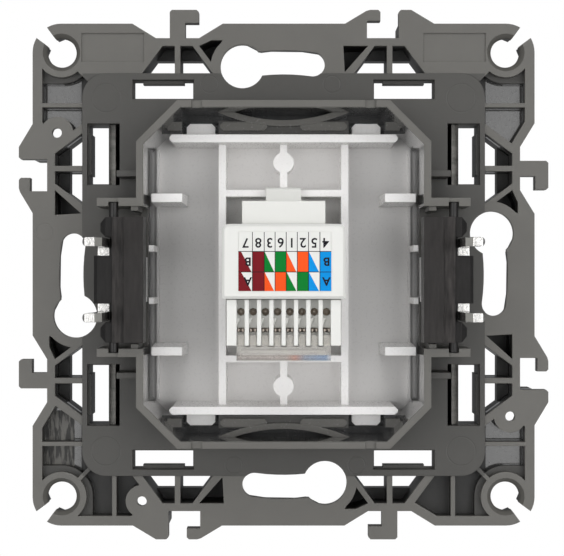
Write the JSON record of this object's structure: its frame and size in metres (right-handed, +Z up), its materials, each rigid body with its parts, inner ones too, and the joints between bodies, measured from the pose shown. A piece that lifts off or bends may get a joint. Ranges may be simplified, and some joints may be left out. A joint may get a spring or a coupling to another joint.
{
  "type": "ethernet wall socket",
  "caption": "Flush RJ45 wall socket mechanism with ribbed support frame, corner clips, keyholes, spreading claws and a snap-in jack, wired from the back.",
  "frame": {"origin": "middle of the support frame on the face that meets the wall", "axes": "+Z up, -Y out of the wall side into the wall box, +Y into the room"},
  "size_m": [0.075, 0.03, 0.075],
  "materials": {
    "frame_plastic": "dark grey glass-filled nylon, satin",
    "black_plastic": "black, satin",
    "white_plastic": "white, glossy outside",
    "jack_plastic": "white, satin",
    "clear_plastic": "clear, polished",
    "label": "printed film",
    "board": "green solder mask",
    "gold_plate": "gold plated",
    "tin_plate": "tin plated",
    "steel": "zinc plated"
  },
  "bodies": {
    "socket": {"support_frame": "frame_plastic", "centre_plate": "white_plastic", "jack_housing": "jack_plastic", "contact_comb": "black_plastic", "jack_board": "board", "idc_block": "jack_plastic", "jack_rear_cover": "jack_plastic", "wiring_label": "label", "spring_contact_1": "gold_plate", "spring_contact_2": "gold_plate", "spring_contact_3": "gold_plate", "spring_contact_4": "gold_plate", "spring_contact_5": "gold_plate", "spring_contact_6": "gold_plate", "spring_contact_7": "gold_plate", "spring_contact_8": "gold_plate", "idc_contact_1": "tin_plate", "idc_contact_2": "tin_plate", "idc_contact_3": "tin_plate", "idc_contact_4": "tin_plate", "idc_contact_5": "tin_plate", "idc_contact_6": "tin_plate", "idc_contact_7": "tin_plate", "idc_contact_8": "tin_plate", "left_claw_nut": "steel", "right_claw_nut": "steel"},
    "left_claw": {"left_claw_lever": "black_plastic", "left_claw_plate": "steel"},
    "right_claw": {"right_claw_lever": "black_plastic", "right_claw_plate": "steel"},
    "left_screw": {"left_claw_screw": "steel"},
    "right_screw": {"right_claw_screw": "steel"},
    "cap": {"wire_cap": "clear_plastic"}
  },
  "joints": [
    {"name": "left_screw_turn", "type": "hinge", "parent": "socket", "child": "left_screw", "pos_m": [-0.02165, 0, -0.0007], "axis": [0, -1, 0], "range_deg": [0, 480]},
    {"name": "right_screw_turn", "type": "hinge", "parent": "socket", "child": "right_screw", "pos_m": [0.02165, 0, -0.0007], "axis": [0, -1, 0], "range_deg": [0, 480]},
    {"name": "left_claw_swing", "type": "hinge", "parent": "socket", "child": "left_claw", "pos_m": [-0.0232, -0.0083, -0.0004], "axis": [0, 0, -1], "range_deg": [0, 32]},
    {"name": "right_claw_swing", "type": "hinge", "parent": "socket", "child": "right_claw", "pos_m": [0.0232, -0.0083, -0.0004], "axis": [0, 0, 1], "range_deg": [0, 32]},
    {"name": "cap_slide", "type": "slide", "parent": "socket", "child": "cap", "axis": [0, -1, 0], "range_m": [0, 0.006]}
  ],
  "couplings": [
    {"joint": "left_screw_turn", "follows": "left_claw_swing", "ratio": 15},
    {"joint": "right_screw_turn", "follows": "right_claw_swing", "ratio": 15}
  ]
}
